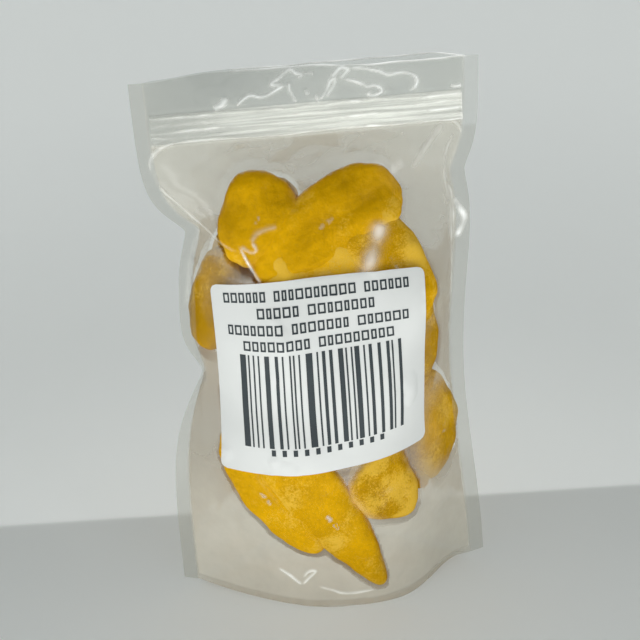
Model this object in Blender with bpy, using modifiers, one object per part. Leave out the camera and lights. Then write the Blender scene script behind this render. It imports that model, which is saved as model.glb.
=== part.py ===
"""Stand-up zip pouch filled with frozen plantain slices, as closed faceted solids.

Metres, +Z up. The pouch stands on the rim of its bottom gusset with its front facing -Y, and the
origin lies on the floor under the middle of its bounding box.
"""

from math import pi, radians

import bpy
import numpy as np

# The flat pouch: a 6 inch wide bag, standing on its opened gusset.
WIDTH = 0.152
HEIGHT = 0.241
SEAL = 0.0065
FILM = 0.0008
LEAN = 0.012

# The opened base: half its width, half its depth, and how far its corners lift.
BASE_HALF_WIDTH = 0.070
BASE_DEPTH = 0.034
CORNER_LIFT = 0.004
RIM = 0.003
ARCH = 0.008

# The filled body: its depth in front of and behind the seals, and where the two films meet.
FRONT_DEPTH = 0.0370
BACK_DEPTH = 0.0350
FULL_HEIGHT = 0.060
SHOULDER_HEIGHT = 0.090
CLOSE_HEIGHT = 0.2115
CLOSE_POWER = 0.8

# The press-to-close zip: a ribbed track on each side of the header.
ZIP_BOTTOM = 0.2132
ZIP_TOP = 0.2262
ZIP_INSET = 0.0075
ZIP_RIBS = 4
ZIP_BACKING = 0.0005
ZIP_RIB = 0.0007
RIB_POINTS = 6

# The label: a 4 by 3 1/3 inch sheet label with round corners, wrapped on the front.
LABEL_WIDTH = 0.1016
LABEL_HEIGHT = 0.0847
LABEL_CORNER = 0.0035
LABEL_CENTRE = (-0.004, 0.1135)
LABEL_THICKNESS = 0.0005
LABEL_FADE = 0.008
GAP = 0.0005

# How finely the pouch and its label are divided.
BODY_COLUMNS = 28
BODY_ROWS = 38
HEADER_ROWS = 5
LABEL_COLUMNS = 22
LABEL_ROWS = 18

# Where the side seals pull in: height, depth, and reach below and above.
LEFT_SAG = (0.140, 0.0105, 0.050, 0.040)
LEFT_PINCHES = ((0.168, 0.0165, 0.0090, 0.0155), (0.105, 0.0130, 0.0220, 0.0150))
RIGHT_SAG = (0.105, 0.0093, 0.070, 0.075)
RIGHT_PINCHES = ((0.191, 0.0050, 0.0150, 0.0110),)
SAG_POWER = 2.0
PINCH_POWER = 1.4
SEAL_FOLD = 0.8

# How full a level section is, from the seal inwards: reach, inner power and outer power.
BASE_LEFT = (1.0, 1.7, 1.15)
BASE_RIGHT = (0.95, 4.0, 2.6)
BASE_BACK = (1.0, 2.2, 1.5)
LOW_SECTION = (1.0, 2.1, 0.90)
BODY_SECTION = (1.0, 2.5, 0.58)
TOP_SECTION = (1.0, 2.2, 0.70)
BASE_BLEND = 0.050
BODY_BLEND = (0.075, 0.135)
TOP_BLEND = (0.150, 0.200)

# Lumps that the slices push out: x, z, length, width, turn from level in degrees, and rise. They
# fade where the bag is thinner than this.
LUMP_FADE = 0.010
FRONT_LUMPS = (
    (-0.0275, 0.1780, 0.052, 0.036, 73, 0.0030),
    (0.0035, 0.1780, 0.078, 0.034, 29, 0.0030),
    (0.0310, 0.1600, 0.062, 0.034, -64, 0.0020),
    (-0.0485, 0.1450, 0.056, 0.028, 78, 0.0012),
    (0.0440, 0.0790, 0.054, 0.034, 80, 0.0014),
    (-0.0290, 0.0590, 0.078, 0.032, -54, 0.0024),
    (-0.0075, 0.0465, 0.090, 0.034, -55, 0.0034),
    (0.0230, 0.0570, 0.044, 0.036, 20, 0.0020),
)
BACK_LUMPS = (
    (-0.0270, 0.1640, 0.064, 0.038, 66, 0.0022),
    (0.0190, 0.1530, 0.066, 0.038, -46, 0.0022),
    (-0.0360, 0.1200, 0.072, 0.036, -72, 0.0022),
    (-0.0010, 0.1240, 0.072, 0.038, 16, 0.0028),
    (0.0380, 0.1120, 0.070, 0.036, 76, 0.0022),
    (-0.0040, 0.0880, 0.076, 0.038, -24, 0.0028),
    (-0.0190, 0.0540, 0.068, 0.038, 46, 0.0026),
    (0.0220, 0.0520, 0.072, 0.038, -40, 0.0028),
)


def smooth(t):
    """Ease from 0 to 1, level at both ends."""
    t = np.clip(t, 0.0, 1.0)
    return t * t * (3.0 - 2.0 * t)


def dent(z, place, power):
    """A dent at a height that falls off as exp(-|distance / reach| ** power)."""
    height, depth, below, above = place
    reach = np.where(z < height, below, above)
    return depth * np.exp(-np.abs((z - height) / reach) ** power)


def half_width(x, z):
    """Distance from the middle to a side seal's outer edge: a straight line less its dents."""
    line = BASE_HALF_WIDTH + (WIDTH / 2 - BASE_HALF_WIDTH) * z / HEIGHT
    left = dent(z, LEFT_SAG, SAG_POWER) + sum(dent(z, pinch, PINCH_POWER) for pinch in LEFT_PINCHES)
    right = dent(z, RIGHT_SAG, SAG_POWER) + sum(dent(z, pinch, PINCH_POWER) for pinch in RIGHT_PINCHES)
    return line - np.where(x < 0, left, right)


def seal_width(x, z):
    """The side seal seen from the front, which folds back where the bag is pinched."""
    left = sum(dent(z, pinch, PINCH_POWER) for pinch in LEFT_PINCHES) / LEFT_PINCHES[0][1]
    return SEAL * (1.0 - SEAL_FOLD * np.where(x < 0, np.clip(left, 0.0, 1.0), 0.0))


def centre_plane(z):
    """The seals' plane, which leans back more the higher it goes."""
    return LEAN * (z / HEIGHT) ** 2


def fill_depth(z, greatest):
    """Depth at the middle: out from the base to the body, then closing towards the zip."""
    body = BASE_DEPTH + (greatest - BASE_DEPTH) * smooth(z / FULL_HEIGHT)
    rise = np.clip((CLOSE_HEIGHT - z) / (CLOSE_HEIGHT - SHOULDER_HEIGHT), 0.0, 1.0)
    return body * np.sin(pi / 2 * rise) ** CLOSE_POWER


def section(x, z, base):
    """Share of the middle's depth at x: (1 - (t / reach) ** inner) ** outer, blended by height."""
    low = smooth(z / BASE_BLEND)
    middle = smooth((z - BODY_BLEND[0]) / (BODY_BLEND[1] - BODY_BLEND[0]))
    high = smooth((z - TOP_BLEND[0]) / (TOP_BLEND[1] - TOP_BLEND[0]))
    reach, inner, outer = base
    for share, shape in ((low, LOW_SECTION), (middle, BODY_SECTION), (high, TOP_SECTION)):
        reach = reach + share * (shape[0] - reach)
        inner = inner + share * (shape[1] - inner)
        outer = outer + share * (shape[2] - outer)
    across = np.abs(x) / (half_width(x, z) - seal_width(x, z))
    return np.clip(1.0 - (across / reach) ** inner, 0.0, 1.0) ** outer


def front_section(x, z):
    """The front's section, whose base is a slope on the left and a shoulder on the right."""
    return np.where(x < 0, section(x, z, BASE_LEFT), section(x, z, BASE_RIGHT))


def lumps(x, z, places):
    """The highest of the slices' lumps, each an ellipse that fades smoothly from its middle."""
    height = np.zeros(np.broadcast(x, z).shape)
    for mid_x, mid_z, length, width, turn, rise in places:
        across, up, angle = x - mid_x, z - mid_z, radians(turn)
        along = across * np.cos(angle) + up * np.sin(angle)
        aside = up * np.cos(angle) - across * np.sin(angle)
        away = (2 * along / length) ** 2 + (2 * aside / width) ** 2
        height = np.maximum(height, rise * np.exp(-(away**1.5)))
    return height


def off_label(x, z):
    """1 away from the label, easing to 0 under it."""
    over_x = np.abs(x - LABEL_CENTRE[0]) - 0.49 * LABEL_WIDTH
    over_z = np.abs(z - LABEL_CENTRE[1]) - 0.52 * LABEL_HEIGHT
    return smooth(np.maximum(over_x, over_z) / LABEL_FADE)


def front_y(x, z):
    """The front film."""
    out = fill_depth(z, FRONT_DEPTH) * front_section(x, z)
    out = out + lumps(x, z, FRONT_LUMPS) * smooth(out / LUMP_FADE) * off_label(x, z)
    return centre_plane(z) - np.maximum(out, FILM / 2)


def back_y(x, z):
    """The back film."""
    out = fill_depth(z, BACK_DEPTH) * section(x, z, BASE_BACK)
    out = out + lumps(x, z, BACK_LUMPS) * smooth(out / LUMP_FADE)
    return centre_plane(z) + np.maximum(out, FILM / 2)


def clear_scene():
    """Remove every object, so that the model starts from nothing."""
    for item in list(bpy.data.objects):
        bpy.data.objects.remove(item, do_unlink=True)


def make_material(name, colour, roughness, alpha=1.0):
    """A Principled material with the part's colour and gloss."""
    material = bpy.data.materials.new(name)
    material.use_nodes = True
    shader = material.node_tree.nodes["Principled BSDF"]
    shader.inputs["Base Color"].default_value = (*colour, 1.0)
    shader.inputs["Roughness"].default_value = roughness
    shader.inputs["Metallic"].default_value = 0.0
    shader.inputs["Alpha"].default_value = alpha
    return material


def add_mesh(name, points, faces, material, collection):
    """An object with smooth faces, sharp where they meet at more than 40 degrees."""
    mesh = bpy.data.meshes.new(name)
    mesh.from_pydata([tuple(p) for p in points], [], faces)
    mesh.materials.append(material)
    mesh.shade_smooth()
    mesh.set_sharp_from_angle(angle=radians(40))
    item = bpy.data.objects.new(name, mesh)
    collection.objects.link(item)
    return item


def grid_faces(index, flip=False):
    """Quads over a grid of point numbers, one for each cell."""
    quads = np.stack([index[:-1, :-1], index[:-1, 1:], index[1:, 1:], index[1:, :-1]], -1).reshape(-1, 4)
    return (quads[:, ::-1] if flip else quads).tolist()


def pouch_grid():
    """Levels and columns: closer together at the seals, and a level at each pinch and zip edge."""
    body = CLOSE_HEIGHT * (1.0 - np.cos(np.linspace(0.0, pi, BODY_ROWS))) / 2
    body = 0.5 * body + 0.5 * np.linspace(0.0, CLOSE_HEIGHT, BODY_ROWS)
    header = np.linspace(ZIP_BOTTOM, HEIGHT, HEADER_ROWS)
    z = np.concatenate([body, header])[:, None]
    across = np.sin(np.linspace(-pi / 2, pi / 2, BODY_COLUMNS + 1))[None, :]
    across = 0.6 * across + 0.4 * np.linspace(-1.0, 1.0, BODY_COLUMNS + 1)[None, :]
    side = np.where(across < 0, -1.0, 1.0)
    inner = across * (half_width(side, z) - seal_width(side, z))
    ones = np.ones_like(z)
    left, right = -half_width(-ones, z), half_width(ones, z)
    x = np.concatenate([left, inner, right], axis=1)
    return x, np.broadcast_to(z, x.shape)


def lifted(x, z):
    """Heights with the base's corners curling up off the floor."""
    corner = (np.abs(x) / half_width(x, z)) ** 6
    return z + CORNER_LIFT * corner * np.clip(1.0 - z / 0.030, 0.0, 1.0)


def build_pouch(material, collection):
    """The filled bag: front and back films, side seals, header and arched gusset in one solid."""
    x, z = pouch_grid()
    rows, columns = x.shape
    front = np.stack([x, front_y(x, z), lifted(x, z)], -1)
    back = np.stack([x, back_y(x, z), lifted(x, z)], -1)

    depth = back[0, :, 1] - front[0, :, 1]
    rim = np.minimum(RIM / depth, 0.15)
    steps = np.stack([rim, 0.5 * rim + 0.15, 0.32 + 0 * rim, 0.5 + 0 * rim], -1)
    steps = np.concatenate([steps, 1.0 - steps[:, -2::-1]], axis=1)
    dome = np.clip((steps - rim[:, None]) / (0.5 - rim[:, None]), 0.0, None)
    dome = np.sin(pi / 2 * np.minimum(dome, 2.0 - dome))
    rise = ARCH * (depth / depth.max())[:, None] ** 0.7 * dome
    gusset = front[0][:, None, :] + steps[..., None] * (back[0] - front[0])[:, None, :]
    gusset[..., 2] += rise

    count = rows * columns
    front_index = np.arange(count).reshape(rows, columns)
    back_index = front_index + count
    inside = 2 * count + np.arange(gusset.shape[0] * gusset.shape[1]).reshape(gusset.shape[:2])
    floor = np.concatenate([front_index[0][:, None], inside, back_index[0][:, None]], axis=1)

    faces = grid_faces(front_index) + grid_faces(back_index, flip=True) + grid_faces(floor)
    faces += grid_faces(np.stack([front_index[-1], back_index[-1]]))
    faces += grid_faces(np.stack([front_index[1:, 0], back_index[1:, 0]]))
    faces += grid_faces(np.stack([front_index[1:, -1], back_index[1:, -1]]), flip=True)
    faces.append([front_index[1, 0], back_index[1, 0], *floor[0, ::-1]])
    faces.append([back_index[1, -1], front_index[1, -1], *floor[-1]])
    points = np.concatenate([front.reshape(-1, 3), back.reshape(-1, 3), gusset.reshape(-1, 3)])
    return add_mesh("pouch", points.tolist(), faces, material, collection)


def front_normal(x, z):
    """Outward direction of the front film, from its slopes."""
    step = 0.0005
    slope_x = (front_y(x + step, z) - front_y(x - step, z)) / (2 * step)
    slope_z = (front_y(x, z + step) - front_y(x, z - step)) / (2 * step)
    normal = np.stack([slope_x, -np.ones_like(slope_x), slope_z], -1)
    return normal / np.linalg.norm(normal, axis=-1, keepdims=True)


def label_grid():
    """Points of the label on the film: equal steps of arc along each level, evened out over its height
    because paper is stiff, with round corners."""
    mid_x, mid_z = LABEL_CENTRE
    z = mid_z + LABEL_HEIGHT * (0.5 - (1.0 + np.cos(np.linspace(0.0, pi, LABEL_ROWS))) / 2)
    to_end = LABEL_HEIGHT / 2 - np.abs(z - mid_z)
    miss = np.clip(LABEL_CORNER - to_end, 0.0, LABEL_CORNER)
    inset = LABEL_CORNER - np.sqrt(LABEL_CORNER**2 - miss**2)
    across = np.sin(np.linspace(-pi / 2, pi / 2, LABEL_COLUMNS)) / 4
    across = across + np.linspace(-0.25, 0.25, LABEL_COLUMNS)
    fine = np.linspace(-0.062, 0.062, 800)
    x = np.empty((LABEL_ROWS, LABEL_COLUMNS))
    for row, level in enumerate(z):
        y = front_y(fine, np.full_like(fine, level))
        arc = np.concatenate([[0.0], np.cumsum(np.hypot(np.diff(fine), np.diff(y)))])
        arc -= np.interp(mid_x, fine, arc)
        x[row] = np.interp(across * LABEL_WIDTH, arc, fine)
    x = np.vander(z - mid_z, 4) @ np.polyfit(z - mid_z, x, 3)
    for row, short in enumerate(inset):
        x[row] = np.interp(across * (LABEL_WIDTH - 2 * short), across * LABEL_WIDTH, x[row])
    return x, np.broadcast_to(z[:, None], x.shape)


def build_label(material, collection):
    """The label: a sheet just off the film, given its thickness by Solidify."""
    x, z = label_grid()
    points = np.stack([x, front_y(x, z), z], -1) + GAP * front_normal(x, z)
    index = np.arange(x.size).reshape(x.shape)
    item = add_mesh("label", points.reshape(-1, 3).tolist(), grid_faces(index), material, collection)
    wall = item.modifiers.new("Thickness", "SOLIDIFY")
    wall.thickness = LABEL_THICKNESS
    wall.offset = 1.0
    return item


def build_zip_track(name, side, material, collection):
    """One ribbed track: a flat outline of half-round ribs on a backing, extruded across the bag."""
    pitch = (ZIP_TOP - ZIP_BOTTOM) / ZIP_RIBS
    angle = np.linspace(0.0, pi, RIB_POINTS)
    outline = [(ZIP_BOTTOM, 0.0), (ZIP_BOTTOM, ZIP_BACKING)]
    for rib in range(ZIP_RIBS):
        middle = ZIP_BOTTOM + (rib + 0.5) * pitch
        outline += [
            (middle - 0.36 * pitch * np.cos(a), ZIP_BACKING + ZIP_RIB * np.sin(a)) for a in angle
        ]
    outline += [(ZIP_TOP, ZIP_BACKING), (ZIP_TOP, 0.0)]

    inner = [half_width(s, ZIP_TOP) - ZIP_INSET for s in (-1.0, 1.0)]
    off = FILM / 2 + GAP
    curve = bpy.data.curves.new(name, "CURVE")
    curve.dimensions = "2D"
    curve.fill_mode = "BOTH"
    curve.extrude = (inner[0] + inner[1]) / 2
    spline = curve.splines.new("POLY")
    spline.points.add(len(outline) - 1)
    for point, (height, out) in zip(spline.points, outline):
        y = centre_plane(height) + side * (off + out)
        point.co = (y, height, 0.0, 1.0)
    spline.use_cyclic_u = True
    curve.materials.append(material)
    item = bpy.data.objects.new(name, curve)
    item.rotation_euler = (pi / 2, 0.0, pi / 2)
    item.location = ((inner[1] - inner[0]) / 2, 0.0, 0.0)
    collection.objects.link(item)
    return item


def main():
    """Build the pouch, its label and its zip."""
    clear_scene()
    collection = bpy.data.collections.new("plantain_pouch")
    bpy.context.scene.collection.children.link(collection)
    clear_film = make_material("clear_film", (0.80, 0.66, 0.30), 0.25, alpha=0.9)
    zip_film = make_material("zip_film", (0.80, 0.81, 0.78), 0.30)
    paper = make_material("label_paper", (0.80, 0.81, 0.79), 0.55)
    build_pouch(clear_film, collection)
    build_label(paper, collection)
    build_zip_track("zip_track_front", -1.0, zip_film, collection)
    build_zip_track("zip_track_back", 1.0, zip_film, collection)


main()
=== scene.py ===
"""Looks of a stand-up zip pouch of frozen plantain slices: clear film, slices, zip, label and stage.

Metres, +Z up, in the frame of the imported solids. The pouch's form comes from the same named sizes and
rules as its solids: a front and a back film that bulge away from the plane of the side seals. The slices
lie in that space, and the films are then draped over them.
"""

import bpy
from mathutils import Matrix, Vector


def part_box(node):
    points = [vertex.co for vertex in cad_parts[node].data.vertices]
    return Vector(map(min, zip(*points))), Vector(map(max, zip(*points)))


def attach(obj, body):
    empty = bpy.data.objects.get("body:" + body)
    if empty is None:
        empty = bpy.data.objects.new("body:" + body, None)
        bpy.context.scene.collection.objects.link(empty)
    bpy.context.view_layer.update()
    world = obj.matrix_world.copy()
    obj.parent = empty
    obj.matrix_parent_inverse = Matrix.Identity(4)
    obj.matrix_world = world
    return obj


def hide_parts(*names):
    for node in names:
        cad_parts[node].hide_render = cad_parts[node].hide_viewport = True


bl_info = {
    "name": "Plantain pouch",
    "version": (1, 0, 0),
    "blender": (4, 5, 0),
    "location": "View3D > Sidebar > Pouch",
    "description": "Builds a clear stand-up pouch of frozen plantain slices around its solids",
    "category": "Object",
}

from functools import lru_cache
from math import cos, pi, radians, sin

import bpy
import numpy as np
from bpy.props import FloatProperty, FloatVectorProperty, PointerProperty
from mathutils import Matrix, Vector

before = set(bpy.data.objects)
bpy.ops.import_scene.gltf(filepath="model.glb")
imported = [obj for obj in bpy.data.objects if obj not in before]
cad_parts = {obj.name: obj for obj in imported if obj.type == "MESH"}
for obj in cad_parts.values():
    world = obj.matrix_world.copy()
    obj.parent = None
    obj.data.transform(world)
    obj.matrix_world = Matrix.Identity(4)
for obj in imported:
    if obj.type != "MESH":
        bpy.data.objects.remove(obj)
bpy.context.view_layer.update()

# The flat pouch and its opened base.
WIDTH = 0.152
HEIGHT = float(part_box("pouch")[1][2])
SEAL = 0.0065
LEAN = 0.012
BASE_HALF_WIDTH = 0.070
BASE_DEPTH = 0.034
CORNER_LIFT = 0.004
CORNER_POWER = 6
CORNER_TOP = 0.030
RIM = 0.003
ARCH = 0.008

# The filled body, and where the two films meet above it.
FRONT_DEPTH = 0.0370
BACK_DEPTH = 0.0350
FULL_HEIGHT = 0.060
SHOULDER_HEIGHT = 0.090
CLOSE_HEIGHT = 0.2115
CLOSE_POWER = 0.8

# The zip: a ribbed strip inside each film.
ZIP_BOTTOM = 0.2132
ZIP_TOP = 0.2262
ZIP_INSET = 0.0075

# Above the zip the loose header leans back between its corners, and on the right its mouth gapes:
# where the lean starts and ends and where the gap starts and ends, each with its reach.
HEADER_BOW = 0.0070
MOUTH_GAPE = 0.0055
BOW_START = (-0.072, 0.035)
BOW_END = (0.074, 0.020)
MOUTH_START = (0.000, 0.028)
MOUTH_END = (0.069, 0.010)

# The label: a 4 by 3 1/3 inch sheet label with round corners.
LABEL_WIDTH = 0.1016
LABEL_HEIGHT = 0.0847
LABEL_CORNER = 0.0035
LABEL_CENTRE = (-0.004, 0.1147)

# It was stuck on a little askew, and its upper corners lie back: how much its right end is higher and
# its left end lower, how much its upper corners drop and its upper edge's middle rises, and how much
# narrower it is at its top than at its foot.
LABEL_SKEW = 0.0018
LABEL_CORNER_DROP = 0.0022
LABEL_CROWN = 0.0016
LABEL_TAPER = 0.035

# The label's own grid and its paper's, both as rows and columns, and how far the arc is measured.
SHEET_GRID = (120, 160)
PAPER_GRID = (110, 130)
SHEET_REACH = 0.064

# The print: each row of small rectangles by the height of its foot above the label's middle and by its
# length, and how many rectangles are in each of its groups. A rectangle's width is drawn between two
# shares of its row's unit, and it and its group leave shares of it free. Then the bars, the dashes under
# them, and how far the ink stands off the paper.
TEXT_LINES = ((0.0345, 0.0870), (0.0277, 0.0540), (0.0207, 0.0850), (0.0139, 0.0700))
TEXT_WORDS = ((6, 10, 6), (5, 8), (7, 7, 6), (8, 9))
TEXT_HEIGHT = 0.0043
TEXT_WIDTHS = (0.8, 1.15)
TEXT_GAP = 0.24
GROUP_GAP = 0.8
STROKE = 0.00078
BARS_FOOT = -0.0302
BARS_HEIGHT = 0.0422
BARS_LENGTH = 0.0770
BARS_SHIFT = 0.0012
BAR_MODULES = 95
BAR_INK = 0.92
DASHES = 11
DASHES_FOOT = -0.0335
DASHES_REACH = 0.32
DASH = (0.0019, 0.0027)
PRINT_OFF = 0.00013
PRINT_THICKNESS = 0.00005
PRINT_STEP = 0.0016
PRINT_SEED = 5

# Where the side seals pull in: height, depth, and reach below and above.
LEFT_SAG = (0.140, 0.0105, 0.050, 0.040)
LEFT_PINCHES = ((0.1735, 0.0123, 0.0170, 0.0100), (0.1080, 0.0118, 0.0240, 0.0105))
RIGHT_SAG = (0.105, 0.0093, 0.070, 0.075)
RIGHT_PINCHES = ((0.191, 0.0050, 0.0150, 0.0110),)
SAG_POWER = 2.0
PINCH_POWER = 1.4
SEAL_FOLD = 0.8

# How full a level section is, from the seal inwards: reach, inner power and outer power.
BASE_LEFT = (1.0, 1.7, 1.15)
BASE_RIGHT = (0.95, 4.0, 2.6)
BASE_BACK = (1.0, 2.2, 1.5)
LOW_SECTION = (1.0, 2.1, 0.90)
BODY_SECTION = (1.0, 2.5, 0.58)
TOP_SECTION = (1.0, 2.2, 0.70)
BASE_BLEND = 0.050
BODY_BLEND = (0.075, 0.135)
TOP_BLEND = (0.150, 0.200)

# The raster on which the films are draped, and how strongly they keep to the pouch's form.
STEP = 0.0007
DRAPE_ROUNDS = 500
DRAPE_PULL = 0.004
CLEARANCE = 0.00025
LABEL_EASE = 0.006
LABEL_SPREAD = 8
LABEL_SMOOTHING = 160
SEALED = 0.00013
RASTER_X = np.arange(-0.0784, 0.0784 + STEP / 2, STEP)
RASTER_Z = np.arange(0.0, HEIGHT + STEP, STEP)

# The films' grids: columns between the seals, rows, and columns in a seal. Then how near a slice has to
# be for the film to look clear: at the base, how much more higher up, and where that begins and ends.
FRONT_GRID = (200, 400, 7)
BACK_GRID = (200, 260, 7)
CONTACT_REACH = (0.0032, 0.0046)
CONTACT_RISE = (0.05, 0.06)
CONTACT_POWER = 1.3

# The films' own relief: bubbles by length and rise, the header's puff, how far the zip holds the film
# off at its flat and at its ribs, and how wide the lip with its painted glint, the hem and the seals' edges
# are.
BUBBLES = ((0.030, 0.00035), (0.012, 0.00018), (0.006, 0.00006))
PUFF = 0.0009
ZIP_SWELL = (0.0011, 0.00035)
LIP = 0.0009
LIP_START = -0.034
HEM = 0.0035
EDGE = 0.0008
CRIMP_FOOT = 0.209

# The slices that show: name, x, z, length, width, thickness, turn from level, how far they push the
# film out, taper towards the far end, bend, tone from dark to bright, frost, and seed. The tone is partly
# the slice's own browning and partly painted shade and light for how the slice lies to the lamps.
FRONT_SLICES = (
    ("slice_upper_left", -0.0262, 0.182, 0.042, 0.032, 0.015, 73, 0.0018, -0.12, 0.02, 0.48, 0.03, 11),
    ("slice_upper_right", 0.0035, 0.178, 0.075, 0.031, 0.015, 29, 0.0018, -0.22, -0.05, 0.58, 0.12, 12),
    ("slice_middle", 0.0015, 0.16, 0.056, 0.034, 0.014, 8, 0.0008, 0.1, 0.06, 1.0, 0.85, 13),
    ("slice_right_shoulder", 0.031, 0.16, 0.06, 0.032, 0.014, -64, 0.001, 0.08, -0.05, 0.38, 0.45, 14),
    ("slice_left_shoulder", -0.053, 0.143, 0.048, 0.024, 0.013, 82, -0.0032, 0.1, 0.05, 0.08, 0.2, 15),
    ("slice_right_edge", 0.044, 0.122, 0.06, 0.03, 0.014, -84, -0.0035, 0.1, 0.04, 0.12, 0.35, 22),
    ("slice_right_side", 0.0522, 0.0722, 0.05, 0.03, 0.014, 84, -0.0014, 0.1, 0.04, 0.34, 0.45, 16),
    ("slice_low_left", -0.03, 0.0585, 0.071, 0.029, 0.015, -56, 0.0022, 0.16, 0.03, 0.6, 0.2, 17),
    ("slice_point", -0.004, 0.0465, 0.088, 0.031, 0.016, -58, 0.0026, 0.36, -0.05, 0.48, 0.28, 18),
    ("slice_low_right", 0.0225, 0.057, 0.034, 0.033, 0.015, 20, 0.0012, -0.4, 0.04, 0.22, 0.72, 19),
    ("slice_behind_label_left", -0.035, 0.112, 0.066, 0.036, 0.014, 74, -0.002, 0.05, 0.06, 0.6, 0.4, 20),
    ("slice_behind_label_right", 0.012, 0.12, 0.064, 0.036, 0.014, -40, -0.002, 0.08, -0.06, 0.5, 0.4, 21),
)
BACK_SLICES = (
    # Painted shade: this slice is dark because it shows in the shaded gap between the front slices.
    ("slice_back_upper_left", -0.027, 0.164, 0.062, 0.036, 0.014, 66, 0.0012, 0.08, 0.06, 0.05, 0.2, 31),
    ("slice_back_upper_right", 0.019, 0.153, 0.064, 0.036, 0.014, -46, 0.0012, 0.05, -0.06, 0.55, 0.35, 32),
    ("slice_back_left", -0.036, 0.12, 0.07, 0.034, 0.015, -72, 0.0014, 0.1, 0.05, 0.6, 0.3, 33),
    ("slice_back_middle", -0.001, 0.124, 0.07, 0.036, 0.015, 16, 0.0022, 0.06, -0.08, 0.7, 0.3, 34),
    ("slice_back_right", 0.038, 0.112, 0.068, 0.034, 0.015, 76, 0.0014, 0.12, 0.06, 0.5, 0.45, 35),
    ("slice_back_lower", -0.004, 0.088, 0.074, 0.036, 0.015, -24, 0.0022, 0.18, 0.08, 0.75, 0.25, 36),
    ("slice_back_low_left", -0.019, 0.054, 0.066, 0.036, 0.015, 46, 0.0018, 0.1, -0.05, 0.65, 0.4, 37),
    ("slice_back_low_right", 0.022, 0.052, 0.07, 0.036, 0.015, -40, 0.0022, 0.24, 0.06, 0.6, 0.35, 38),
)

# How far from its middle a slice takes its slope from the film.
SLICE_REACH = 0.009

# The slices inside: name, x, share of the way from the front film to the back film, z, then as above
# but without the push.
INNER_SLICES = (
    ("slice_inner_upper", 0.01, 0.5, 0.14, 0.06, 0.034, 0.013, -12, 0.1, 0.05, 0.4, 0.5, 51),
    ("slice_inner_left", -0.028, 0.5, 0.09, 0.068, 0.034, 0.015, -80, 0.1, 0.05, 0.5, 0.4, 52),
    ("slice_inner_right", 0.024, 0.5, 0.086, 0.066, 0.034, 0.015, 70, 0.08, 0.06, 0.45, 0.4, 53),
    ("slice_inner_low", -0.002, 0.5, 0.044, 0.062, 0.034, 0.015, 8, 0.15, 0.05, 0.4, 0.4, 54),
)

# Creases of the front film: half its width, its rise, how white it is, and its points as x and z. The
# white is partly the film's stress whitening and partly painted highlight, and it glows.
CREASES = (
    (0.0005, 0.0006, 0.32, ((-0.069, 0.205), (-0.0665, 0.195), (-0.058, 0.186), (-0.051, 0.179),
        (-0.044, 0.174), (-0.0345, 0.169))),
    (0.0005, 0.0009, 1.0, ((-0.0345, 0.1725), (-0.0315, 0.165), (-0.0265, 0.1565))),
    (0.0009, 0.0009, 0.45, ((-0.0175, 0.18), (-0.0225, 0.179), (-0.0272, 0.177), (-0.0293, 0.1735))),
    (0.0007, 0.0008, 0.6, ((-0.029, 0.1745), (-0.0275, 0.1705), (-0.03, 0.1695), (-0.034, 0.1725))),
    (0.0009, 0.0005, 0.3, ((-0.0505, 0.174), (-0.054, 0.165), (-0.0565, 0.154), (-0.059, 0.137))),
    (0.0014, 0.0008, 0.15, ((0.059, 0.212), (0.052, 0.205), (0.043, 0.195))),
    (0.0006, 0.0006, 0.22, ((0.064, 0.2085), (0.059, 0.199), (0.058, 0.188), (0.06, 0.178))),
    (0.0006, 0.0006, 0.3, ((0.06, 0.178), (0.0595, 0.155), (0.0585, 0.13))),
    (0.0006, 0.0006, 0.35, ((0.059, 0.186), (0.061, 0.18), (0.0612, 0.17), (0.0608, 0.16))),
    # A painted highlight along the right seal's inner edge.
    (0.0015, 0.0012, 0.85, ((0.0615, 0.1785), (0.0645, 0.1725), (0.0662, 0.168), (0.064, 0.1625),
        (0.0618, 0.159))),
    # A painted highlight: a broad cream streak on the film where it would catch the key lamp.
    (0.0034, 0.0011, 0.62, ((0.028, 0.179), (0.0235, 0.168), (0.0185, 0.158), (0.017, 0.154))),
    (0.0005, 0.0009, 0.65, ((-0.028, 0.019), (-0.0225, 0.015), (-0.018, 0.0112))),
    (0.0005, 0.0009, 0.55, ((-0.018, 0.0112), (-0.015, 0.015), (-0.0118, 0.019), (-0.015, 0.0185),
        (-0.0175, 0.015))),
    (0.0005, 0.0007, 0.55, ((-0.011, 0.011), (-0.005, 0.009), (0.001, 0.0068), (0.015, 0.0075))),
    (0.0045, 0.0012, 0.0, ((0.018, 0.012), (0.028, 0.031), (0.042, 0.05), (0.052, 0.054))),
    (0.0035, 0.001, 0.0, ((0.034, 0.01), (0.042, 0.028), (0.054, 0.042))),
    (0.004, -0.0012, 0.0, ((-0.05, 0.049), (-0.042, 0.033), (-0.03, 0.018))),
    (0.0008, 0.0007, 0.45, ((-0.0565, 0.215), (-0.065, 0.2115), (-0.069, 0.207), (-0.0695, 0.2))),
    (0.0006, 0.0006, 0.3, ((0.035, 0.2138), (0.052, 0.2145), (0.0625, 0.213), (0.0665, 0.208),
        (0.066, 0.202))),
)
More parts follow.
